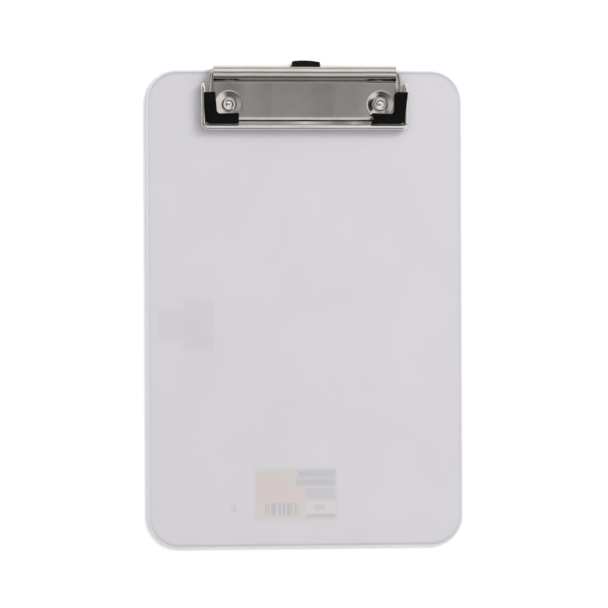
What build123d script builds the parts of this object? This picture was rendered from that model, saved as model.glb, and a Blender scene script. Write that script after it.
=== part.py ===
"""A memo-size plastic clipboard: low-profile steel clip, torsion wire spring and pull-out hang tab.

Frame: millimetres, +X to the right, +Y towards the clip, +Z out of the writing face.
The origin is the centre of the board's outline on the plane that the back rim rests on.
"""

import os

from build123d import *

# ---------------------------------------------------------------- driving dimensions
# Board
BOARD_WIDTH = 152.0
BOARD_HEIGHT = 229.0
BOARD_THICKNESS = 3.0
BOARD_CORNER_R = 15.6
BOARD_FRONT_ROUND = 1.2
BOARD_BACK_ROUND = 0.8
RIM_WIDTH = 5.6
RIM_DEPTH = 1.0
RIM_TAPER = 20

# Sheet metal and wire
SHEET = 0.7
WIRE_R = 0.8
BOLT_GAP = 0.05
# A full rounding is made this much smaller, so that it leaves a little of its face.
ROUND_SHORTFALL = 0.01

# Base plate: a raised tray with an arch along its top edge
PLATE_HALF_WIDTH = 43.45
PLATE_RISE = 2.5
TRAY_FRONT_Y = 87.3
TRAY_FRONT_LEAN = 2.45
TRAY_FRONT_R = 5.0
TRAY_SIDE_R = 0.5
ARCH_Y = 112.15
ARCH_R = 4.0
ARCH_LIFT = 0.5
ARCH_BACK_DROP = 1.0
DIMPLE_TOP_R = 6.4
DIMPLE_FLOOR_R = 3.45
DIMPLE_RIM_R = 6.75
DIMPLE_BEND_R = [1.2, 1.2]
DIMPLE_GAP = 0.02
ARCH_OVERLAP = 1.2
NOTCH_HALF_WIDTH = 7.5
NOTCH_DROP = 1.1

# Eyelets that fasten the base plate to the board
EYELET_X = 36.2
EYELET_Y = 97.6
EYELET_BARREL_R = 2.2
EYELET_HEAD_R = 3.1
EYELET_HEAD_HEIGHT = 0.9
EYELET_HEAD_EDGE = 0.45
EYELET_CUP_R = 1.9
EYELET_CUP_EDGE = 0.6
EYELET_CUP_FLOOR_R = 1.5
EYELET_CUP_FLOOR = 0.15
EYELET_CUP_DOME = 0.4
EYELET_TAIL_R = 3.0
EYELET_TAIL_Z = 0.35
EYELET_TAIL_EDGE = 0.5
EYELET_BORE_R = 1.5
EYELET_BORE_TOP_Z = 2.2
WASHER_R = 4.0
WASHER_THICKNESS = 0.3

# Spring wire
CRANK_HALF_WIDTH = 13.0
CRANK_Y = 98.0
CRANK_RISE_Y = 109.9
CRANK_END_X = 15.0
TWIST_GAP = 0.04
CRANK_GAP = 0.05
ARCH_GAP = 0.1
FOOT_GAP = 0.03
LEG_TOP_X = 44.6
LEG_X = 45.4
LEG_BEND_Y = 105.2
FOOT_Y = 90.0
FOOT_END_X = 33.5
WIRE_BEND_R = 1.65
LEG_TOP_BEND_R = 1.3
LEG_BEND_R = 6.0
FOOT_BEND_R = 2.4

# Jaw frame: a rolled rim round three sides with a flange inside it
JAW_HALF_WIDTH = 49.3
JAW_FRONT_Y = 85.2
JAW_BACK_Y = 107.5
JAW_CORNER_R = 3.0
JAW_GAP = 0.15
ROLL_R = 1.2
ROLL_ABOVE_FLANGE = 1.8
FLANGE_INNER_Y = 89.2
TAB_INNER_X = 43.2
TAB_INNER_Y = 91.9
TAB_BACK_Y = 102.3
TAB_END_X = 32.2
EAR_INNER_X = 45.6
EAR_SLOPE_Y = 105.1
EAR_BACK_Y = 106.5
JAW_END_R = 2.6
JAW_END_LENGTH = 3.0

# Corner grips: soft L-shaped caps over the wire's feet and the jaw's corner tabs
GRIP_INNER_X = 42.5
GRIP_INNER_Y = 92.8
GRIP_BACK_Y = 103.1
GRIP_END_X = 31.3
GRIP_CLEAR = 0.08
GRIP_CORNER_R = 2.2
GRIP_INSIDE_R = 0.8
GRIP_TOP_ROUND = 0.5
GRIP_ABOVE_WIRE = 1.1
GRIP_BELOW_TAB = 0.75
GRIP_SLOT_CLEAR = 0.05

# Hang tab, which sits a little to the right of the middle
HANG_TAB_X = 0.5
TONGUE_HALF_WIDTH = 6.3
TONGUE_THICKNESS = 1.4
TONGUE_LIFT = 0.15
TONGUE_END_Y = 101.0
EAR_HALF_WIDTH = 8.6
EAR_LENGTH = 2.6
HANG_HOLE_R = 3.2
HANG_HOLE_Y = 109.3
GRIP_BAR_HALF_WIDTH = 6.7
GRIP_BAR_FRONT_Y = 114.95
GRIP_BAR_LEFT_Y = 117.7
GRIP_BAR_RIGHT_Y = 117.3
GRIP_BAR_CROWN_Y = 118.1
GRIP_BAR_BOTTOM_Z = 1.6
GRIP_BAR_TOP_Z = 8.6
GRIP_BAR_END_R = 0.6
GRIP_BAR_ROUND = 0.5
GRIP_BAR_RIB_R = 0.35
GRIP_BAR_RIBS = 4
GRIP_BAR_RIB_PITCH = 2.4

# Paper label and film tab on the back
LABEL_SIZE = (40.0, 25.4)
LABEL_CENTRE = (-4.7, -88.6)
STICKER_THICKNESS = 0.1
FILM_STEM_Y = (-14.0, -0.6)
FILM_BLOCK_Y = (-19.8, 4.7)
FILM_X = (-70.0, -58.3, -43.7)

# ---------------------------------------------------------------- derived levels
FACE_Z = BOARD_THICKNESS
BACK_Z = RIM_DEPTH
TRAY_TOP_Z = FACE_Z + PLATE_RISE
ARCH_Z = TRAY_TOP_Z + ARCH_LIFT
ARCH_TOP_Z = ARCH_Z + ARCH_R
HINGE_Z = ARCH_TOP_Z - SHEET - ARCH_GAP - WIRE_R
CRANK_Z = FACE_Z + CRANK_GAP + WIRE_R
FLANGE_TOP_Z = HINGE_Z - WIRE_R - FOOT_GAP
FLANGE_BOTTOM_Z = FLANGE_TOP_Z - SHEET
ROLL_Z = FLANGE_TOP_Z + ROLL_ABOVE_FLANGE - ROLL_R
DIMPLE_FLOOR_Z = FACE_Z + DIMPLE_GAP + SHEET
GRIP_OUTER_X = JAW_HALF_WIDTH - 2 * ROLL_R - GRIP_CLEAR
GRIP_FRONT_Y = JAW_FRONT_Y + 2 * ROLL_R + GRIP_CLEAR
GRIP_TOP_Z = HINGE_Z + WIRE_R + GRIP_ABOVE_WIRE
GRIP_BOTTOM_Z = FLANGE_BOTTOM_Z - GRIP_BELOW_TAB
TONGUE_Z = FACE_Z + TONGUE_LIFT
WASHER_Z = BACK_Z - WASHER_THICKNESS
JAW_BOTTOM_Z = FACE_Z + JAW_GAP
JAW_TOP_Z = ROLL_Z + ROLL_R
SIDES = {"left": -1, "right": 1}

os.makedirs("parts", exist_ok=True)


def save(piece, name):
    """Labels a finished piece and writes its STEP file."""
    piece.part.label = name
    export_step(piece.part, f"parts/{name}.step")


def upright_plane(side):
    """The upright plane through an eyelet's centre line, with radius across and height up."""
    return Plane(origin=(side * EYELET_X, EYELET_Y, 0), x_dir=(1, 0, 0), z_dir=(0, -1, 0))


# ---------------------------------------------------------------- board
with BuildPart() as board:
    with BuildSketch():
        RectangleRounded(BOARD_WIDTH, BOARD_HEIGHT, BOARD_CORNER_R)
    extrude(amount=BOARD_THICKNESS)
    fillet(board.faces().sort_by(Axis.Z)[-1].edges(), radius=BOARD_FRONT_ROUND)
    fillet(board.faces().sort_by(Axis.Z)[0].edges(), radius=BOARD_BACK_ROUND)
    # The back is hollowed inside a rim, so that the eyelets and the label clear the table.
    with BuildSketch():
        RectangleRounded(
            BOARD_WIDTH - 2 * RIM_WIDTH,
            BOARD_HEIGHT - 2 * RIM_WIDTH,
            BOARD_CORNER_R - RIM_WIDTH,
        )
    extrude(amount=RIM_DEPTH, taper=RIM_TAPER, mode=Mode.SUBTRACT)
    with BuildSketch(Plane.XY.offset(FACE_Z)):
        with Locations((-EYELET_X, EYELET_Y), (EYELET_X, EYELET_Y)):
            Circle(EYELET_BARREL_R + BOLT_GAP)
    extrude(amount=-BOARD_THICKNESS, mode=Mode.SUBTRACT)
save(board, "board")

# ---------------------------------------------------------------- base plate
with BuildPart() as base_plate:
    # Tray: a raised block with rounded edges, hollowed from below.
    with BuildSketch(Plane.YZ):
        with BuildLine():
            Polyline(
                (TRAY_FRONT_Y, FACE_Z + BOLT_GAP),
                (TRAY_FRONT_Y + TRAY_FRONT_LEAN, TRAY_TOP_Z),
                (ARCH_Y - ARCH_R, TRAY_TOP_Z),
                (ARCH_Y - ARCH_R, FACE_Z + BOLT_GAP),
                close=True,
            )
        make_face()
    extrude(amount=PLATE_HALF_WIDTH, both=True)
    tray_edges = base_plate.faces().sort_by(Axis.Z)[-1].edges().sort_by(Axis.Y)
    fillet(tray_edges[0], radius=TRAY_FRONT_R)
    tray_edges = base_plate.faces().sort_by(Axis.Z)[-1].edges().filter_by(Axis.Y)
    fillet(tray_edges, radius=TRAY_SIDE_R)
    floor = base_plate.faces().sort_by(Axis.Z)[0]
    back = base_plate.faces().sort_by(Axis.Y)[-1]
    offset(amount=-SHEET, openings=[floor, back])
    # Dimples that bring the plate down to the board under the eyelets.
    with Locations((-EYELET_X, EYELET_Y), (EYELET_X, EYELET_Y)):
        Cylinder(DIMPLE_RIM_R, 2 * TRAY_TOP_Z, mode=Mode.SUBTRACT)
    for side in SIDES.values():
        with BuildSketch(upright_plane(side)):
            with BuildLine():
                dimple_line = FilletPolyline(
                    (DIMPLE_RIM_R, TRAY_TOP_Z),
                    (DIMPLE_TOP_R, TRAY_TOP_Z),
                    (DIMPLE_FLOOR_R, DIMPLE_FLOOR_Z),
                    (EYELET_BARREL_R + BOLT_GAP, DIMPLE_FLOOR_Z),
                    radius=DIMPLE_BEND_R,
                )
                offset(dimple_line, amount=SHEET, side=Side.LEFT)
            make_face()
        revolve(axis=Axis((side * EYELET_X, EYELET_Y, 0), (0, 0, 1)))
    # Arch over the spring wire, with its back wall outside the board's top edge.
    with BuildSketch(Plane.YZ):
        with BuildLine():
            front = ARCH_Y - ARCH_R
            FilletPolyline(
                (front - ARCH_OVERLAP, TRAY_TOP_Z),
                (front, TRAY_TOP_Z),
                (front, ARCH_Z),
                radius=ARCH_LIFT - ROUND_SHORTFALL,
            )
            CenterArc((ARCH_Y, ARCH_Z), ARCH_R, 0, 180)
            Line((ARCH_Y + ARCH_R, ARCH_Z), (ARCH_Y + ARCH_R, FACE_Z - ARCH_BACK_DROP))
            offset(amount=SHEET, side=Side.RIGHT)
        make_face()
    extrude(amount=PLATE_HALF_WIDTH, both=True)
    # Notch in the arch's back wall, where the hang tab comes out.
    with BuildSketch(Plane.YZ):
        with BuildLine():
            Polyline(
                (ARCH_Y, 0),
                (ARCH_Y, ARCH_TOP_Z - NOTCH_DROP),
                (ARCH_Y + 2 * ARCH_R, ARCH_TOP_Z - NOTCH_DROP),
                (ARCH_Y + 2 * ARCH_R, 0),
                close=True,
            )
        make_face()
    extrude(amount=NOTCH_HALF_WIDTH, both=True, mode=Mode.SUBTRACT)
save(base_plate, "base_plate")

# ---------------------------------------------------------------- eyelets and their washers
for name, side in SIDES.items():
    with BuildPart() as eyelet:
        with BuildSketch(upright_plane(side)):
            with BuildLine():
                dome = ThreePointArc(
                    (-EYELET_CUP_FLOOR_R, DIMPLE_FLOOR_Z + EYELET_CUP_FLOOR),
                    (0, DIMPLE_FLOOR_Z + EYELET_CUP_DOME),
                    (EYELET_CUP_FLOOR_R, DIMPLE_FLOOR_Z + EYELET_CUP_FLOOR),
                )
                ring = ThreePointArc(
                    (EYELET_CUP_R, DIMPLE_FLOOR_Z + EYELET_CUP_EDGE),
                    ((EYELET_CUP_R + EYELET_HEAD_R) / 2, DIMPLE_FLOOR_Z + EYELET_HEAD_HEIGHT),
                    (EYELET_HEAD_R, DIMPLE_FLOOR_Z + EYELET_HEAD_EDGE),
                )
                Line(dome @ 1, ring @ 0)
                Polyline(
                    ring @ 1,
                    (EYELET_HEAD_R, DIMPLE_FLOOR_Z),
                    (EYELET_BARREL_R, DIMPLE_FLOOR_Z),
                    (EYELET_BARREL_R, WASHER_Z),
                    (EYELET_TAIL_R, WASHER_Z),
                    (EYELET_TAIL_R - EYELET_TAIL_EDGE, EYELET_TAIL_Z),
                    (EYELET_BORE_R, EYELET_TAIL_Z),
                    (EYELET_BORE_R, EYELET_BORE_TOP_Z),
                    (-EYELET_CUP_FLOOR_R, EYELET_BORE_TOP_Z),
                    dome @ 0,
                )
            make_face()
            # Only the half on one side of the centre line is turned round it.
            with Locations((-EYELET_HEAD_R, 0)):
                Rectangle(2 * EYELET_HEAD_R, 4 * DIMPLE_FLOOR_Z, mode=Mode.SUBTRACT)
        revolve(axis=Axis((side * EYELET_X, EYELET_Y, 0), (0, 0, 1)))
    save(eyelet, f"eyelet_{name}")

    with BuildPart() as washer:
        with BuildSketch(Plane.XY.offset(WASHER_Z)):
            with Locations((side * EYELET_X, EYELET_Y)):
                Circle(WASHER_R)
                Circle(EYELET_BARREL_R + BOLT_GAP, mode=Mode.SUBTRACT)
        extrude(amount=WASHER_THICKNESS)
    save(washer, f"washer_{name}")

# ---------------------------------------------------------------- spring wire
# One wire: a crank held under the plate, and on each side a bar that twists inside the arch
# and carries a leg. It is divided where the bar twists, so that each leg turns with the jaw.
with BuildPart() as spring_crank:
    with BuildLine():
        crank_line = FilletPolyline(
            (-CRANK_END_X, ARCH_Y, HINGE_Z),
            (-CRANK_HALF_WIDTH, ARCH_Y, HINGE_Z),
            (-CRANK_HALF_WIDTH, CRANK_RISE_Y, CRANK_Z),
            (-CRANK_HALF_WIDTH, CRANK_Y, CRANK_Z),
            (CRANK_HALF_WIDTH, CRANK_Y, CRANK_Z),
            (CRANK_HALF_WIDTH, CRANK_RISE_Y, CRANK_Z),
            (CRANK_HALF_WIDTH, ARCH_Y, HINGE_Z),
            (CRANK_END_X, ARCH_Y, HINGE_Z),
            radius=WIRE_BEND_R,
        )
    with BuildSketch(Plane(crank_line @ 0, z_dir=crank_line % 0)):
        Circle(WIRE_R)
    sweep()
save(spring_crank, "spring_crank")


def spring_leg(side, radius):
    """The bar, leg and foot on one side, as a rod of the given radius."""
    with BuildPart() as leg:
        with BuildLine():
            leg_line = FilletPolyline(
                (side * (CRANK_END_X + TWIST_GAP), ARCH_Y, HINGE_Z),
                (side * LEG_TOP_X, ARCH_Y, HINGE_Z),
                (side * LEG_X, LEG_BEND_Y, HINGE_Z),
                (side * LEG_X, FOOT_Y, HINGE_Z),
                (side * FOOT_END_X, FOOT_Y, HINGE_Z),
                radius=[LEG_TOP_BEND_R, LEG_BEND_R, FOOT_BEND_R],
            )
        with BuildSketch(Plane(leg_line @ 0, z_dir=leg_line % 0)):
            Circle(radius)
        sweep()
    return leg


for name, side in SIDES.items():
    save(spring_leg(side, WIRE_R), f"spring_leg_{name}")


# ---------------------------------------------------------------- jaw frame
def jaw_area(inset):
    """The area inside the jaw's outline, drawn in from it by the inset."""
    half = JAW_HALF_WIDTH - inset
    front = JAW_FRONT_Y + inset
    with BuildSketch() as area:
        with BuildLine():
            outline = FilletPolyline(
                (-half, JAW_BACK_Y),
                (-half, front),
                (half, front),
                (half, JAW_BACK_Y),
                radius=JAW_CORNER_R - inset,
            )
            Line(outline @ 1, outline @ 0)
        make_face()
    return area.sketch


def flange_area(grow):
    """The flange inside the rolled rim: a tab in each corner, and a narrow ear behind each tab."""
    reach = JAW_HALF_WIDTH - 2 * ROLL_R
    with BuildSketch() as area:
        with BuildLine():
            Polyline(
                (0, JAW_FRONT_Y),
                (0, FLANGE_INNER_Y + grow),
                (TAB_END_X - grow, FLANGE_INNER_Y + grow),
                (TAB_END_X - grow, TAB_INNER_Y + grow),
                (TAB_INNER_X - grow, TAB_INNER_Y + grow),
                (TAB_INNER_X - grow, TAB_BACK_Y + grow),
                (EAR_INNER_X - grow, TAB_BACK_Y + grow),
                (EAR_INNER_X - grow, EAR_SLOPE_Y + grow),
                (reach, EAR_BACK_Y + grow),
                (reach, JAW_FRONT_Y),
                close=True,
            )
        make_face()
        mirror(about=Plane.YZ)
    return area.sketch


with BuildPart() as jaw_frame:
    with BuildSketch(Plane.XY.offset(JAW_BOTTOM_Z)):
        add(jaw_area(0))
        add(jaw_area(2 * ROLL_R), mode=Mode.SUBTRACT)
    extrude(amount=JAW_TOP_Z - JAW_BOTTOM_Z)
    ends = jaw_frame.faces().sort_by(Axis.Z)[-1].edges().filter_by(Axis.X).group_by(Axis.Y)[-1]
    fillet(ends, radius=JAW_END_R)
    roll_edges = jaw_frame.faces().sort_by(Axis.Z)[-1].edges()
    back_edges = roll_edges.filter_by(Axis.X).group_by(Axis.Y)[-1]
    fillet(roll_edges - back_edges, radius=ROLL_R - ROUND_SHORTFALL)
    # Below the flange only the outer wall goes down; inside the roll the sheet is hollow.
    with BuildSketch(Plane.XY.offset(FLANGE_BOTTOM_Z)):
        add(jaw_area(SHEET))
    extrude(amount=-FLANGE_BOTTOM_Z, mode=Mode.SUBTRACT)
    with BuildSketch(Plane.XY.offset(ROLL_Z + ROLL_R - SHEET)):
        add(jaw_area(SHEET))
        add(jaw_area(2 * ROLL_R - SHEET), mode=Mode.SUBTRACT)
        with Locations((0, JAW_BACK_Y)):
            Rectangle(2 * JAW_HALF_WIDTH, 2 * JAW_END_LENGTH, mode=Mode.SUBTRACT)
    extrude(amount=-ROLL_Z, mode=Mode.SUBTRACT)
    with BuildSketch(Plane.XY.offset(FLANGE_BOTTOM_Z)):
        add(flange_area(0))
        add(jaw_area(2 * ROLL_R - SHEET), mode=Mode.INTERSECT)
    extrude(amount=SHEET)
save(jaw_frame, "jaw_frame")

# ---------------------------------------------------------------- corner grips
for name, side in SIDES.items():
    with BuildPart() as grip:
        with BuildSketch(Plane.XY.offset(GRIP_BOTTOM_Z)):
            with BuildLine():
                Polyline(
                    (side * GRIP_OUTER_X, GRIP_FRONT_Y),
                    (side * GRIP_OUTER_X, GRIP_BACK_Y),
                    (side * GRIP_INNER_X, GRIP_BACK_Y),
                    (side * GRIP_INNER_X, GRIP_INNER_Y),
                    (side * GRIP_END_X, GRIP_INNER_Y),
                    (side * GRIP_END_X, GRIP_FRONT_Y),
                    close=True,
                )
            make_face()
        extrude(amount=GRIP_TOP_Z - GRIP_BOTTOM_Z)
        upright = grip.edges().filter_by(Axis.Z)
        outer = upright.sort_by_distance((side * GRIP_OUTER_X, GRIP_FRONT_Y, GRIP_TOP_Z))
        inner = upright.sort_by_distance((side * GRIP_INNER_X, GRIP_INNER_Y, GRIP_TOP_Z))
        fillet(outer[0], radius=GRIP_CORNER_R)
        fillet(inner[0], radius=GRIP_INSIDE_R)
        fillet(grip.faces().sort_by(Axis.Z)[-1].edges(), radius=GRIP_TOP_ROUND)
        with BuildSketch(Plane.XY.offset(FLANGE_BOTTOM_Z - GRIP_SLOT_CLEAR)):
            add(flange_area(GRIP_SLOT_CLEAR))
        extrude(amount=SHEET + 2 * GRIP_SLOT_CLEAR, mode=Mode.SUBTRACT)
        add(spring_leg(side, WIRE_R + GRIP_SLOT_CLEAR).part, mode=Mode.SUBTRACT)
    save(grip, f"grip_{name}")

# ---------------------------------------------------------------- hang tab
with BuildPart() as hang_tab:
    with BuildSketch(Plane((HANG_TAB_X, 0, TONGUE_Z))):
        with BuildLine():
            Polyline(
                (-EAR_HALF_WIDTH, TONGUE_END_Y),
                (-EAR_HALF_WIDTH, TONGUE_END_Y + EAR_LENGTH),
                (-TONGUE_HALF_WIDTH, TONGUE_END_Y + EAR_LENGTH),
                (-TONGUE_HALF_WIDTH, GRIP_BAR_FRONT_Y),
                (TONGUE_HALF_WIDTH, GRIP_BAR_FRONT_Y),
                (TONGUE_HALF_WIDTH, TONGUE_END_Y + EAR_LENGTH),
                (EAR_HALF_WIDTH, TONGUE_END_Y + EAR_LENGTH),
                (EAR_HALF_WIDTH, TONGUE_END_Y),
                close=True,
            )
        make_face()
        with Locations((0, HANG_HOLE_Y)):
            Circle(HANG_HOLE_R, mode=Mode.SUBTRACT)
    extrude(amount=TONGUE_THICKNESS)
    with BuildSketch(Plane((HANG_TAB_X, 0, GRIP_BAR_BOTTOM_Z))) as bar:
        with BuildLine():
            crown = ThreePointArc(
                (-GRIP_BAR_HALF_WIDTH, GRIP_BAR_LEFT_Y),
                (0, GRIP_BAR_CROWN_Y),
                (GRIP_BAR_HALF_WIDTH, GRIP_BAR_RIGHT_Y),
            )
            Polyline(
                crown @ 1,
                (GRIP_BAR_HALF_WIDTH, GRIP_BAR_FRONT_Y),
                (-GRIP_BAR_HALF_WIDTH, GRIP_BAR_FRONT_Y),
                crown @ 0,
            )
        make_face()
        fillet(bar.vertices().sort_by(Axis.Y)[-2:], radius=GRIP_BAR_END_R)
    extrude(amount=GRIP_BAR_TOP_Z - GRIP_BAR_BOTTOM_Z)
    fillet(hang_tab.faces().sort_by(Axis.Z)[-1].edges(), radius=GRIP_BAR_ROUND)
    # Upright finger grooves in the back of the bar.
    with BuildSketch(Plane((HANG_TAB_X, 0, GRIP_BAR_BOTTOM_Z))):
        with Locations((0, GRIP_BAR_CROWN_Y)):
            with GridLocations(GRIP_BAR_RIB_PITCH, 0, GRIP_BAR_RIBS, 1):
                Circle(GRIP_BAR_RIB_R)
    extrude(amount=GRIP_BAR_TOP_Z - GRIP_BAR_BOTTOM_Z - 2 * GRIP_BAR_ROUND, mode=Mode.SUBTRACT)
save(hang_tab, "hang_tab")

# ---------------------------------------------------------------- label and film on the back
with BuildPart() as back_label:
    with BuildSketch(Plane.XY.offset(BACK_Z)):
        with Locations(LABEL_CENTRE):
            Rectangle(*LABEL_SIZE)
    extrude(amount=-STICKER_THICKNESS)
save(back_label, "back_label")

with BuildPart() as back_film:
    with BuildSketch(Plane.XY.offset(BACK_Z)):
        with BuildLine():
            stem_low, stem_high = FILM_STEM_Y
            block_low, block_high = FILM_BLOCK_Y
            stem_end, shoulder, block_end = FILM_X
            Polyline(
                (stem_end, stem_low),
                (stem_end, stem_high),
                (shoulder, stem_high),
                (shoulder, block_high),
                (block_end, block_high),
                (block_end, block_low),
                (shoulder, block_low),
                (shoulder, stem_low),
                close=True,
            )
        make_face()
    extrude(amount=-STICKER_THICKNESS)
save(back_film, "back_film")
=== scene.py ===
"""The visual model of the clipboard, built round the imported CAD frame. Lengths are in metres."""

import math

import bmesh
import bpy
from mathutils import Euler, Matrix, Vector, noise
from mathutils.geometry import tessellate_polygon


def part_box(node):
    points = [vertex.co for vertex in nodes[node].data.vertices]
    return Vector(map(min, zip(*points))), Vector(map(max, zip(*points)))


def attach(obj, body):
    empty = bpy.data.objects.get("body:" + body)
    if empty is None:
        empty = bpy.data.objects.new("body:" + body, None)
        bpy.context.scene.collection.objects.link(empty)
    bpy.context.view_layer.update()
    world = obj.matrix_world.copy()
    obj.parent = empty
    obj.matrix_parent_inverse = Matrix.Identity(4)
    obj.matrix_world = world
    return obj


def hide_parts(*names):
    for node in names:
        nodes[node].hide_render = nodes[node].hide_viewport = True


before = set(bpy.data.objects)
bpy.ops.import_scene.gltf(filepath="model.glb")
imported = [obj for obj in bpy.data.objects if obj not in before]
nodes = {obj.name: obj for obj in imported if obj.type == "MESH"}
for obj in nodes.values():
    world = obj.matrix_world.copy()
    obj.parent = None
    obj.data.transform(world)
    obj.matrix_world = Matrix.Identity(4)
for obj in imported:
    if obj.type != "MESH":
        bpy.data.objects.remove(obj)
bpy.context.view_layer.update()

MM = 0.001


# ---------------------------------------------------------------- material helpers
class Shader:
    """A material with one Principled shader, and short ways to add the nodes that feed it."""

    def __init__(self, name, color, roughness, metallic=0.0, **sockets):
        self.material = bpy.data.materials.new(name)
        self.material.use_nodes = True
        self.nodes = self.material.node_tree.nodes
        self.links = self.material.node_tree.links
        self.bsdf = self.nodes["Principled BSDF"]
        self.bsdf.inputs["Base Color"].default_value = (*color, 1)
        self.bsdf.inputs["Roughness"].default_value = roughness
        self.bsdf.inputs["Metallic"].default_value = metallic
        for socket, value in sockets.items():
            self.bsdf.inputs[socket.replace("_", " ")].default_value = value
        self.place = self.nodes.new("ShaderNodeTexCoord").outputs["Object"]
        self.coordinates = None
        self.scattered = {}

    def stretched(self, scale):
        """The position, scaled along each axis."""
        mapping = self.nodes.new("ShaderNodeMapping")
        mapping.inputs["Scale"].default_value = scale
        self.links.new(self.place, mapping.inputs["Vector"])
        return mapping.outputs["Vector"]

    def noise(self, scale, detail=3.0, roughness=0.5, stretch=None):
        """Smooth noise with about scale lumps to the metre."""
        node = self.nodes.new("ShaderNodeTexNoise")
        node.inputs["Scale"].default_value = scale
        node.inputs["Detail"].default_value = detail
        node.inputs["Roughness"].default_value = roughness
        self.links.new(self.stretched(stretch) if stretch else self.place, node.inputs["Vector"])
        return node.outputs["Fac"]

    def span(self, value, low, high, from_low=0.3, from_high=0.7):
        """value, moved from its own range into low to high."""
        node = self.nodes.new("ShaderNodeMapRange")
        node.inputs["From Min"].default_value = from_low
        node.inputs["From Max"].default_value = from_high
        node.inputs["To Min"].default_value = low
        node.inputs["To Max"].default_value = high
        self.links.new(value, node.inputs["Value"])
        return node.outputs["Result"]

    def blend(self, factor, first, second):
        """A colour between first and second, each a colour or a socket. factor is a socket."""
        node = self.nodes.new("ShaderNodeMix")
        node.data_type = "RGBA"
        for socket, value in (("A", first), ("B", second)):
            target = [i for i in node.inputs if i.name == socket and i.type == "RGBA"][0]
            if isinstance(value, (tuple, list)):
                target.default_value = (*value, 1)
            else:
                self.links.new(value, target)
        factor_in = [i for i in node.inputs if i.name == "Factor" and i.type == "VALUE"][0]
        self.links.new(factor, factor_in)
        return [o for o in node.outputs if o.type == "RGBA"][0]

    def maths(self, operation, first, second=0.0):
        """One step of arithmetic on sockets or numbers."""
        node = self.nodes.new("ShaderNodeMath")
        node.operation = operation
        for socket, value in zip(node.inputs, (first, second)):
            if isinstance(value, (int, float)):
                socket.default_value = value
            else:
                self.links.new(value, socket)
        return node.outputs[0]

    def axis(self, letter):
        """One coordinate of the position, blurred while it is scattered."""
        if self.coordinates is None:
            split = self.nodes.new("ShaderNodeSeparateXYZ")
            self.links.new(self.place, split.inputs[0])
            self.coordinates = split.outputs
        return self.scattered.get(letter, self.coordinates[letter])

    def scatter(self, spread):
        """Shifts X and Y to and fro in a fine grain, which blurs what is drawn with them."""
        exact = {letter: self.axis(letter) for letter in "XY"}
        for letter, grain in (("X", 7000), ("Y", 9000)):
            shift = self.span(self.noise(grain, 0.0), -spread, spread)
            self.scattered[letter] = self.maths("ADD", exact[letter], shift)

    def unscatter(self):
        """Reads X and Y exactly again."""
        self.scattered.clear()

    def inside(self, low, high):
        """1 inside the flat rectangle between two corners, 0 outside."""
        result = 1.0
        for letter, start, end in zip("XY", low, high):
            above = self.maths("GREATER_THAN", self.axis(letter), start)
            below = self.maths("LESS_THAN", self.axis(letter), end)
            result = self.maths("MULTIPLY", result, self.maths("MULTIPLY", above, below))
        return result

    def depth_in(self, half_size, radius, centre=(0.0, 0.0)):
        """How far a point lies inwards from the outline of a rounded rectangle."""
        reach = []
        for letter, half, middle in zip("XY", half_size, centre):
            offset = self.maths("SUBTRACT", self.axis(letter), middle)
            reach.append(self.maths("SUBTRACT", self.maths("ABSOLUTE", offset), half - radius))
        past = [self.maths("MAXIMUM", value, 0.0) for value in reach]
        squares = [self.maths("MULTIPLY", value, value) for value in past]
        round_part = self.maths("SQRT", self.maths("ADD", *squares))
        flat_part = self.maths("MINIMUM", self.maths("MAXIMUM", *reach), 0.0)
        return self.maths("SUBTRACT", radius, self.maths("ADD", round_part, flat_part))

    def line(self, value, centre, half_width, strength=1.0):
        """strength where value is centre, fading to 0 at half_width either side."""
        away = self.maths("ABSOLUTE", self.maths("SUBTRACT", value, centre))
        return self.span(away, strength, 0.0, 0.0, half_width)

    def ring(self, middle, inner, outer):
        """0 within inner of a point on the flat, rising smoothly to 1 at outer."""
        away = [self.maths("SUBTRACT", self.axis(letter), at) for letter, at in zip("XY", middle)]
        squares = [self.maths("MULTIPLY", value, value) for value in away]
        distance = self.maths("SQRT", self.maths("ADD", *squares))
        result = self.span(distance, 0.0, 1.0, inner, outer)
        result.node.interpolation_type = "SMOOTHSTEP"
        return result

    def color(self, socket):
        """Feeds the base colour."""
        self.links.new(socket, self.bsdf.inputs["Base Color"])

    def rough(self, socket):
        """Feeds the roughness."""
        self.links.new(socket, self.bsdf.inputs["Roughness"])

    def bump(self, *layers):
        """Stacks bumps, each a (height socket, depth in metres) pair."""
        normal = None
        for height, depth in layers:
            node = self.nodes.new("ShaderNodeBump")
            node.inputs["Strength"].default_value = 1.0
            node.inputs["Distance"].default_value = depth
            self.links.new(height, node.inputs["Height"])
            if normal is not None:
                self.links.new(normal, node.inputs["Normal"])
            normal = node.outputs["Normal"]
        self.links.new(normal, self.bsdf.inputs["Normal"])


# ---------------------------------------------------------------- materials
# The colour of painted shade: a dark ring round each eyelet on the plate and a dark line along the
# jaw's crease.
CREVICE_SHADE = (0.04, 0.038, 0.035)
BOARD_CORNER_R = 15.6 * MM
# The film is a block with a narrower bar across it.
FILM_BLOCK_START = 0.45
FILM_BAR_Y = -7.3 * MM
FILM_BAR_HALF = 6.7 * MM
GHOST_BLUR = 0.55 * MM
GHOST_CORNER_R = 0.5 * MM
GHOST_STRENGTH = 0.26
FILM_STRENGTH = 0.11
SCUFF_PLACE = (-34.8 * MM, -95.0 * MM)
SCUFF_HALF = (2.0 * MM, 2.4 * MM)
SCUFF_CORNER_R = 1.9 * MM
# The painted shade round each eyelet fades out between these radii.
CREVICE_INNER = 3.0 * MM
CREVICE_OUTER = 3.8 * MM
# Half width of the painted shade line along the jaw's crease.
SEAM_HALF_WIDTH = 0.4 * MM
# How far behind the jaw's front each lies.
JAW_BOW_START = 2.5 * MM
JAW_SEAM = 2.55 * MM
# The Y of the line about which the base plate leans, and how far it leans.
PLATE_LEVEL = 0.108
PLATE_SWAY = 0.03
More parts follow.
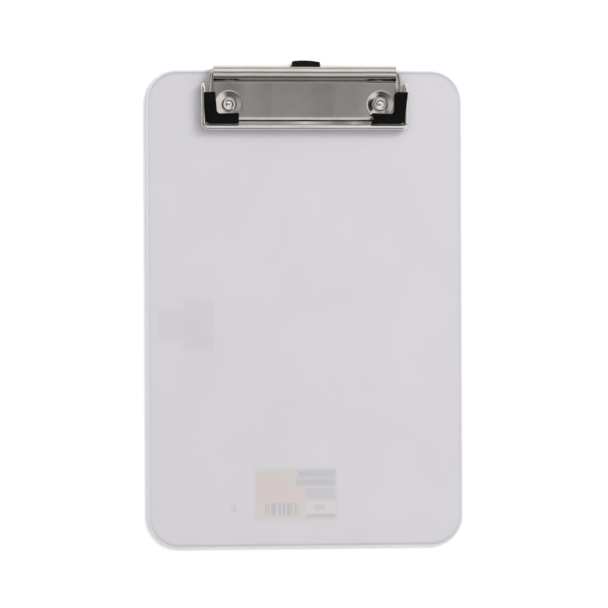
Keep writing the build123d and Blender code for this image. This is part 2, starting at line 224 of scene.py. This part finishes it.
# Where the jaw's flange swells along X: the middle, the half length and the slope.
JAW_SWELLS = [(0.0005, 0.013, 0.13), (0.0235, 0.013, -0.11), (-0.023, 0.010, 0.03)]


def middle_and_half(low, high):
    """The centre and the half size of a flat rectangle."""
    centre = tuple((a + b) / 2 for a, b in zip(low[:2], high[:2]))
    half = tuple((b - a) / 2 for a, b in zip(low[:2], high[:2]))
    return centre, half


def label_print(shade, paper):
    """Plain blocks, bars and rules printed on the label, which is no real label's design."""
    low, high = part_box("back_label")
    olive, salmon = (0.44, 0.43, 0.24), (0.52, 0.32, 0.22)
    ink, grey = (0.10, 0.10, 0.17), (0.24, 0.24, 0.29)
    # Each block: left, bottom, right and top as shares of the label, and its colour.
    blocks = [
        (0.00, 0.00, 1.00, 1.00, olive),
        (0.03, 0.41, 0.47, 0.90, salmon),
        (0.03, 0.20, 0.61, 0.66, salmon),
        (0.61, 0.09, 0.97, 0.36, paper),
        (0.61, 0.40, 0.97, 0.62, grey),
        (0.50, 0.67, 0.97, 0.77, ink),
        (0.50, 0.77, 0.97, 0.83, grey),
        (0.52, 0.84, 0.97, 0.95, ink),
        (0.71, 0.20, 0.84, 0.31, grey),
        (0.61, 0.06, 0.97, 0.13, ink),
    ]

    def place(u, v):
        return low[0] + u * (high[0] - low[0]), low[1] + v * (high[1] - low[1])

    worn = shade.span(shade.noise(900, 4), 0.7, 1.0)
    color = paper
    for left, bottom, right, top, tint in blocks:
        area = shade.inside(place(left, bottom), place(right, top))
        strength = area if tint in (olive, paper) else shade.maths("MULTIPLY", area, worn)
        color = shade.blend(strength, color, tint)
    # A row of upright bars of uneven width.
    bars = shade.maths("GREATER_THAN", shade.noise(1.0, 0.0, stretch=(900, 0, 0)), 0.47)
    area = shade.inside(place(0.13, 0.11), place(0.52, 0.34))
    return shade.blend(shade.maths("MULTIPLY", area, bars), color, ink)


def frosted_plastic():
    """Frosted board plastic, with what is stuck on the back painted faintly into its colour as a
    see-through image, and painted light and shade at its edge and rim.
    """
    base = (0.522, 0.513, 0.550)
    shade = Shader("frosted_plastic", base, 0.34, IOR=1.49, Transmission_Weight=0.12)
    mottle = shade.span(shade.noise(28, 4), 0.0, 1.0)
    color = shade.blend(mottle, (0.513, 0.504, 0.541), (0.531, 0.522, 0.559))

    # The label and the film, painted on the front as a faint see-through image, far paler and
    # softer than they are from behind.
    shade.scatter(GHOST_BLUR)
    label_centre, label_half = middle_and_half(*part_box("back_label"))
    soft = shade.depth_in(label_half, GHOST_CORNER_R, label_centre)
    ghost = shade.span(soft, 0.0, GHOST_STRENGTH, -0.3 * MM, 0.4 * MM)
    color = shade.blend(ghost, color, label_print(shade, (0.55, 0.50, 0.42)))
    film_low, film_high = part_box("back_film")
    film_centre, film_half = middle_and_half(film_low, film_high)
    block_left = film_low[0] + FILM_BLOCK_START * (film_high[0] - film_low[0])
    block_centre, block_half = middle_and_half((block_left, film_low[1]), film_high)
    bar_centre, bar_half = (film_centre[0], FILM_BAR_Y), (film_half[0], FILM_BAR_HALF)
    in_block = shade.depth_in(block_half, GHOST_CORNER_R, block_centre)
    in_bar = shade.depth_in(bar_half, GHOST_CORNER_R, bar_centre)
    in_film = shade.maths("MAXIMUM", in_block, in_bar)
    film = shade.span(in_film, 0.0, FILM_STRENGTH, -0.6 * MM, 0.9 * MM)
    color = shade.blend(film, color, (0.27, 0.22, 0.31))
    shade.unscatter()

    # Painted light and shade at the edge: a painted pale fringe of light at the very edge, and
    # painted dark lines of shade where the edge turns and at the rim's step.
    depth = shade.depth_in(middle_and_half(*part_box("board"))[1], BOARD_CORNER_R)
    color = shade.blend(shade.line(depth, 0.0, 1.5 * MM, 0.9), color, (0.86, 0.85, 0.89))
    # The painted shade lines are darker towards the top and bottom ends than along the sides, as
    # the light falls.
    far_along = shade.maths("ABSOLUTE", shade.axis("Y"))
    at_ends = shade.span(far_along, 0.3, 1.0, 100 * MM, 112 * MM)
    # Each line: how far in from the edge it lies and its half width, in millimetres, and how dark.
    for centre, half_width, strength in ((1.8, 1.0, 0.26), (3.3, 1.0, 0.03), (5.7, 0.7, 0.035)):
        line = shade.line(depth, centre * MM, half_width * MM, strength)
        color = shade.blend(shade.maths("MULTIPLY", line, at_ends), color, (0.05, 0.05, 0.06))

    # One small scuff on the writing face.
    grain = shade.span(shade.noise(1500, 3), 0.0, 1.0, 0.5, 0.62)
    near = shade.depth_in(SCUFF_HALF, SCUFF_CORNER_R, SCUFF_PLACE)
    mark = shade.maths("MULTIPLY", shade.span(near, 0.0, 1.0, 0.0, 0.8 * MM), grain)
    color = shade.blend(shade.maths("MULTIPLY", mark, 0.25), color, (0.06, 0.06, 0.07))

    shade.color(color)
    shade.rough(shade.span(shade.noise(900, 3), 0.3, 0.4))
    shade.bump((shade.noise(2500, 2), 0.004 * MM), (shade.noise(60, 2), 0.02 * MM))
    return shade.material


def plated_steel(name, color, roughness, sway=None, bow=None, crevices=(), seam=None):
    """Nickel-chrome over pressed sheet, with rolling lines, tarnish and a slightly uneven surface.

    sway is for leaning_sheet and bow for bowed_flange. crevices are the points that painted shade
    darkens round, and seam is the Y of a painted dark line of shade."""
    shade = Shader(name, color, roughness, metallic=1.0)
    tarnish = shade.span(shade.noise(90, 4), 0.0, 1.0)
    metal = shade.blend(tarnish, color, tuple(c * k for c, k in zip(color, (0.95, 0.92, 0.89))))
    lines = shade.noise(1.0, 2, stretch=(120, 9000, 2000))
    shade.rough(shade.span(lines, roughness * 0.8, roughness * 1.25))
    layers = [(shade.noise(120, 1), 0.03 * MM), (lines, 0.0006 * MM)]
    if sway is not None:
        layers.insert(0, (leaning_sheet(shade, *sway), 1.0))
    if bow is not None:
        layers.insert(0, (bowed_flange(shade, *bow), 1.0))
    # Painted shade: a dark ring round each crevice point, where shadow falls.
    for middle in crevices:
        outside = shade.ring(middle, CREVICE_INNER, CREVICE_OUTER)
        metal = shade.blend(shade.span(outside, 0.5, 0.0, 0.0, 1.0), metal, CREVICE_SHADE)
    # Painted shade: a dark line along the crease at the seam.
    if seam is not None:
        line = shade.line(shade.axis("Y"), seam, SEAM_HALF_WIDTH, 0.5)
        metal = shade.blend(line, metal, CREVICE_SHADE)
    shade.color(metal)
    shade.bump(*layers)
    return shade.material


def leaning_sheet(shade, sway, level):
    """A sheet that leans to and fro by sway along its length, about the line at level on Y."""
    drift = shade.span(shade.noise(1.0, 1.5, stretch=(45, 0, 0)), -sway, sway)
    return shade.maths("MULTIPLY", drift, shade.maths("SUBTRACT", shade.axis("Y"), level))


def bowed_flange(shade, level, swells):
    """A flange that tips a little where it swells, fading out 4 to 6 mm behind level on Y."""
    slope = 0.0
    for middle, half_length, amount in swells:
        slope = shade.maths("ADD", slope, shade.line(shade.axis("X"), middle, half_length, amount))
    front = shade.span(shade.axis("Y"), 1.0, 0.0, level + 4 * MM, level + 6 * MM)
    slope = shade.maths("MULTIPLY", slope, front)
    return shade.maths("MULTIPLY", slope, shade.maths("SUBTRACT", shade.axis("Y"), level))


def soft_vinyl():
    """The grips' dull black vinyl."""
    shade = Shader("soft_vinyl", (0.002, 0.002, 0.0023), 0.42, Specular_IOR_Level=0.07)
    grime = shade.span(shade.noise(350, 4), 0.0, 1.0)
    shade.color(shade.blend(grime, (0.0016, 0.0016, 0.0019), (0.0032, 0.0032, 0.0036)))
    shade.rough(shade.span(shade.noise(600, 3), 0.34, 0.55))
    shade.bump((shade.noise(3500, 2), 0.01 * MM), (shade.noise(300, 2), 0.05 * MM))
    return shade.material


def black_plastic():
    """The hang tab's moulded plastic, a little shinier than the grips."""
    shade = Shader("black_plastic", (0.003, 0.003, 0.003), 0.38, Specular_IOR_Level=0.12)
    grime = shade.span(shade.noise(500, 4), 0.0, 1.0)
    shade.color(shade.blend(grime, (0.002, 0.002, 0.002), (0.006, 0.0045, 0.004)))
    shade.rough(shade.span(shade.noise(1500, 2), 0.3, 0.48))
    shade.bump((shade.noise(4000, 2), 0.006 * MM))
    return shade.material


def zinc_steel():
    """The washers' zinc plating."""
    shade = Shader("zinc_steel", (0.58, 0.58, 0.59), 0.32, metallic=1.0)
    spangle = shade.span(shade.noise(900, 4), 0.0, 1.0)
    shade.color(shade.blend(spangle, (0.50, 0.50, 0.52), (0.64, 0.64, 0.65)))
    shade.rough(shade.span(shade.noise(1800, 3), 0.25, 0.42))
    shade.bump((shade.noise(2600, 3), 0.006 * MM))
    return shade.material


def printed_paper():
    """The label's own face, on the back of the board."""
    shade = Shader("printed_paper", (0.80, 0.76, 0.68), 0.7)
    fibre = shade.span(shade.noise(1600, 5), 0.0, 1.0)
    shade.color(label_print(shade, shade.blend(fibre, (0.80, 0.77, 0.70), (0.86, 0.84, 0.78))))
    shade.bump((shade.noise(5000, 3), 0.008 * MM))
    return shade.material


def clear_film():
    """The film tab on the back of the board."""
    shade = Shader("clear_film", (0.62, 0.58, 0.58), 0.22, IOR=1.45, Transmission_Weight=0.3)
    cloud = shade.span(shade.noise(200, 3), 0.0, 1.0)
    shade.color(shade.blend(cloud, (0.60, 0.56, 0.56), (0.66, 0.62, 0.62)))
    shade.bump((shade.noise(220, 3), 0.03 * MM))
    return shade.material


def dress(material, *names):
    """Gives CAD nodes a finish, and leaves their shape as it is."""
    for name in names:
        for slot in nodes[name].material_slots:
            slot.material = material


eyelet_middles = [middle_and_half(*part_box(name))[0] for name in ("eyelet_left", "eyelet_right")]
jaw_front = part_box("jaw_frame")[0][1]
plate_steel = plated_steel(
    "plate_steel",
    (0.66, 0.645, 0.63),
    0.12,
    sway=(PLATE_SWAY, PLATE_LEVEL),
    # Painted shade rings round the eyelets.
    crevices=eyelet_middles,
)
jaw_steel = plated_steel(
    "jaw_steel",
    (0.86, 0.85, 0.84),
    0.14,
    bow=(jaw_front + JAW_BOW_START, JAW_SWELLS),
    # Painted shade line along the crease behind the jaw's front.
    seam=jaw_front + JAW_SEAM,
)
dress(frosted_plastic(), "board")
dress(plate_steel, "base_plate")
dress(jaw_steel, "jaw_frame")
dress(plated_steel("eyelet_steel", (0.86, 0.86, 0.87), 0.10), "eyelet_left", "eyelet_right")
wire_steel = plated_steel("wire_steel", (0.62, 0.59, 0.55), 0.16)
dress(wire_steel, "spring_crank", "spring_leg_left", "spring_leg_right")
dress(zinc_steel(), "washer_left", "washer_right")
dress(black_plastic(), "hang_tab")
dress(printed_paper(), "back_label")
dress(clear_film(), "back_film")


# ---------------------------------------------------------------- corner grips
ARC_STEPS = 6
SHARPEST_R = 0.1 * MM
CAP_CLEARANCE = 0.06 * MM
# Unless this is set, the unevenness of the caps differs from one run to the next.
noise.seed_set(1)


def drawn_in(corners, inset):
    """Moves the sides of a closed outline, drawn anticlockwise, inwards by the inset."""
    moved = []
    trios = zip(corners[-1:] + corners[:-1], corners, corners[1:] + corners[:1])
    for before, here, after in trios:
        arriving = (here - before).normalized()
        leaving = (after - here).normalized()
        inwards = Vector((-arriving.y - leaving.y, arriving.x + leaving.x)).normalized()
        stretch = inwards.dot(Vector((-arriving.y, arriving.x)))
        moved.append(here + inwards * inset / stretch)
    return moved


def rounded(corners, radii, inset):
    """Rounds each corner of a closed outline that has been drawn in by the inset."""
    points = []
    trios = zip(corners[-1:] + corners[:-1], corners, corners[1:] + corners[:1], radii)
    for before, here, after, radius in trios:
        to_before, to_after = before - here, after - here
        outer = to_after.cross(to_before) > 0
        radius = max(radius - inset, SHARPEST_R) if outer else radius + inset
        half_angle = to_before.angle(to_after) / 2
        longest = 0.45 * min(to_before.length, to_after.length)
        reach = min(radius / math.tan(half_angle), longest)
        start = here + to_before.normalized() * reach
        end = here + to_after.normalized() * reach
        for step in range(ARC_STEPS + 1):
            share = step / ARC_STEPS
            points.append(start.lerp(here, share).lerp(here.lerp(end, share), share))
    return points


def grip(node, side, outline, vinyl):
    """A soft cap pushed over one corner of the jaw, a little fuller over the rim than below it.

    Each corner of the outline is given in millimetres: how far inwards and backwards it is from
    the cap's outer front corner, how far it overhangs the rim, and its radius."""
    low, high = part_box(node)
    corner_x = high[0] if side > 0 else low[0]
    bottom, top = low[2], high[2] - CAP_CLEARANCE
    # Each level: height, inset in millimetres, and the share of the overhang that it has.
    levels = [
        (bottom, 0.45, 0.0),
        (bottom + 0.1 * MM, 0.15, 0.0),
        (bottom + 0.4 * MM, 0.0, 0.0),
        (top - 1.5 * MM, 0.0, 0.0),
        (top - 1.0 * MM, 0.0, 0.8),
        (top - 0.6 * MM, 0.0, 1.0),
        (top - 0.35 * MM, 0.06, 1.0),
        (top - 0.17 * MM, 0.2, 1.0),
        (top - 0.07 * MM, 0.42, 1.0),
        (top - 0.02 * MM, 0.8, 1.0),
    ]
    mesh = bmesh.new()
    rings = []
    for z, inset, share in levels:
        corners = []
        for inwards, back, over_x, over_y, radius in outline:
            x = corner_x - side * (inwards - over_x * share) * MM
            corners.append(Vector((x, low[1] + (back - over_y * share) * MM)))
        radii = [corner[-1] * MM for corner in outline]
        if side < 0:
            corners.reverse()
            radii.reverse()
        ring = rounded(drawn_in(corners, inset * MM), radii, inset * MM)
        rings.append([mesh.verts.new((point.x, point.y, z)) for point in ring])
    for lower, upper in zip(rings, rings[1:]):
        for i in range(len(lower)):
            j = (i + 1) % len(lower)
            mesh.faces.new((lower[i], lower[j], upper[j], upper[i]))
    for ring in (rings[0], rings[-1]):
        for trio in tessellate_polygon([[vert.co for vert in ring]]):
            mesh.faces.new([ring[i] for i in trio])
    for vert in mesh.verts:
        vert.co += 0.04 * MM * noise.noise_vector(vert.co * 260)
    bmesh.ops.recalc_face_normals(mesh, faces=mesh.faces)
    data = bpy.data.meshes.new(f"{node}_cap")
    mesh.to_mesh(data)
    mesh.free()
    data.polygons.foreach_set("use_smooth", [True] * len(data.polygons))
    data.materials.append(vinyl)
    piece = bpy.data.objects.new(f"{node}_cap", data)
    bpy.context.scene.collection.objects.link(piece)
    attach(piece, "jaw")
    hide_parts(node)


# Corners run from the inner end along the front, up the outer side and back along the inside.
left_outline = [
    (15.3, 0.35, 0.0, 0.0, 0.4),
    (0.1, 0.3, 0.0, 0.0, 2.2),
    (-0.05, 7.5, 1.05, 0.0, 5.0),
    (0.0, 15.2, 1.3, 0.0, 0.6),
    (4.2, 15.35, 0.0, 0.0, 0.5),
    (5.0, 6.0, 0.0, 0.0, 2.0),
    (6.0, 5.1, 0.0, 0.0, 1.2),
    (15.4, 5.4, 0.0, 0.0, 0.5),
]
right_outline = [
    (15.6, 0.35, 0.0, 0.0, 0.4),
    (0.1, 0.3, 0.2, 0.0, 2.2),
    (0.0, 8.0, 1.35, 0.0, 5.0),
    (0.0, 15.3, 2.2, 0.0, 0.5),
    (2.9, 15.35, 0.0, 0.0, 0.6),
    (4.2, 14.4, 0.0, 0.0, 0.5),
    (4.4, 6.4, 0.0, 0.0, 1.0),
    (5.6, 5.0, 0.0, 0.0, 0.9),
    (15.2, 5.4, 0.0, 0.0, 0.5),
    (14.2, 2.8, 0.0, 0.0, 1.5),
]
vinyl = soft_vinyl()
grip("grip_left", -1, left_outline, vinyl)
grip("grip_right", 1, right_outline, vinyl)


# ---------------------------------------------------------------- floor, light and camera
def floor():
    """A large plain sweep under the clipboard."""
    half = 6.0
    mesh = bpy.data.meshes.new("floor")
    corners = [(-half, -half), (half, -half), (half, half), (-half, half)]
    mesh.from_pydata([(x, y, -0.0001) for x, y in corners], [], [(0, 1, 2, 3)])
    plane = bpy.data.objects.new("floor", mesh)
    bpy.context.scene.collection.objects.link(plane)
    shade = Shader("floor_paper", (0.92, 0.92, 0.92), 0.6)
    cloud = shade.span(shade.noise(3, 2), 0.0, 1.0)
    shade.color(shade.blend(cloud, (0.915, 0.915, 0.915), (0.925, 0.925, 0.925)))
    mesh.materials.append(shade.material)


SKY_PEAK = 1.5


class Sky:
    """The studio round the clipboard, as shader nodes on the world."""

    def __init__(self):
        world = bpy.data.worlds.new("studio")
        world.use_nodes = True
        bpy.context.scene.world = world
        self.tree = world.node_tree
        split = self.node("ShaderNodeSeparateXYZ")
        self.link(self.node("ShaderNodeTexCoord").outputs["Generated"], split.inputs[0])
        self.direction = split.outputs

    def node(self, kind):
        return self.tree.nodes.new(kind)

    def link(self, start, end):
        self.tree.links.new(start, end)

    def ramp(self, letter, steps):
        """Brightness by the angle from straight up towards an axis, in (degrees, value) steps."""
        angle = self.node("ShaderNodeMath")
        angle.operation = "ARCTAN2"
        self.link(self.direction[letter], angle.inputs[0])
        self.link(self.direction["Z"], angle.inputs[1])
        share = self.node("ShaderNodeMapRange")
        share.inputs["From Min"].default_value = -math.pi / 2
        share.inputs["From Max"].default_value = math.pi / 2
        self.link(angle.outputs[0], share.inputs["Value"])
        ramp = self.node("ShaderNodeValToRGB")
        self.link(share.outputs["Result"], ramp.inputs["Fac"])
        stops = ramp.color_ramp.elements
        while len(stops) < len(steps):
            stops.new(0.5)
        for stop, (degrees, _) in zip(stops, steps):
            stop.position = (degrees + 90) / 180
        for stop, (_, value) in zip(stops, steps):
            tone = value / SKY_PEAK
            stop.color = (tone, tone * 0.985, tone * 0.965, 1)
        return ramp.outputs["Color"]

    def finish(self, middle, sides):
        """Shows middle overhead and to the front and back, and sides to the left and right."""
        sideways = self.node("ShaderNodeMath")
        sideways.operation = "ABSOLUTE"
        self.link(self.direction["X"], sideways.inputs[0])
        share = self.node("ShaderNodeMapRange")
        share.inputs["From Min"].default_value = 0.15
        share.inputs["From Max"].default_value = 0.5
        self.link(sideways.outputs[0], share.inputs["Value"])
        mix = self.node("ShaderNodeMix")
        mix.data_type = "RGBA"
        self.link(share.outputs["Result"], mix.inputs["Factor"])
        colors = [socket for socket in mix.inputs if socket.type == "RGBA"]
        self.link(middle, colors[0])
        self.link(sides, colors[1])
        mixed = [socket for socket in mix.outputs if socket.type == "RGBA"][0]
        background = self.tree.nodes["Background"]
        self.link(mixed, background.inputs["Color"])
        background.inputs["Strength"].default_value = SKY_PEAK


def studio():
    """Cards and gaps round the clipboard, which the bright steel shows as bands."""
    sky = Sky()
    front_to_back = [
        (-90, 0.50),
        (-80, 0.32),
        (-68, 0.09),
        (-57, 0.10),
        (-46, 0.28),
        (-34, 0.62),
        (-20, 0.98),
        (-9, 0.66),
        (-1, 0.42),
        (6, 0.39),
        (9, 0.22),
        (14, 0.20),
        (22, 0.85),
        (36, 1.12),
        (50, 1.12),
        (59, 0.62),
        (78, 0.58),
        (90, 0.90),
    ]
    left_to_right = [
        (-90, 0.30),
        (-74, 0.30),
        (-62, 0.72),
        (-50, 0.24),
        (-28, 0.14),
        (-12, 0.12),
        (0, 0.42),
        (20, 0.70),
        (38, 0.95),
        (60, 1.00),
        (74, 0.42),
        (90, 0.60),
    ]
    sky.finish(sky.ramp("Y", front_to_back), sky.ramp("X", left_to_right))


def softbox(name, place, size, power):
    """A square area lamp aimed at the clipboard, which metal doesn't show as a shape."""
    data = bpy.data.lights.new(name, "AREA")
    data.shape = "RECTANGLE"
    data.size = data.size_y = size
    data.energy = power
    lamp = bpy.data.objects.new(name, data)
    lamp.location = place
    towards = Vector((0, 0, 0)) - Vector(place)
    lamp.rotation_euler = towards.to_track_quat("-Z", "Y").to_euler()
    lamp.visible_glossy = False
    bpy.context.scene.collection.objects.link(lamp)


def camera():
    """Straight above, a little to the left of the middle, with a long lens."""
    data = bpy.data.cameras.new("camera")
    data.sensor_width = 36.0
    data.lens = 111.3
    data.clip_start, data.clip_end = 0.01, 50.0
    cam = bpy.data.objects.new("camera", data)
    cam.location = (-0.0488, 0.0070, 0.9)
    cam.rotation_euler = Euler([math.radians(turn) for turn in (-0.28, -3.075, -0.224)])
    bpy.context.scene.collection.objects.link(cam)
    bpy.context.scene.camera = cam


floor()
studio()
softbox("key", (0.75, 0.65, 1.1), 0.6, 10.5)
softbox("overhead", (-0.05, 0.0, 1.6), 2.4, 22)
camera()
bpy.context.scene.view_settings.view_transform = "Standard"
bpy.context.scene.view_settings.look = "None"
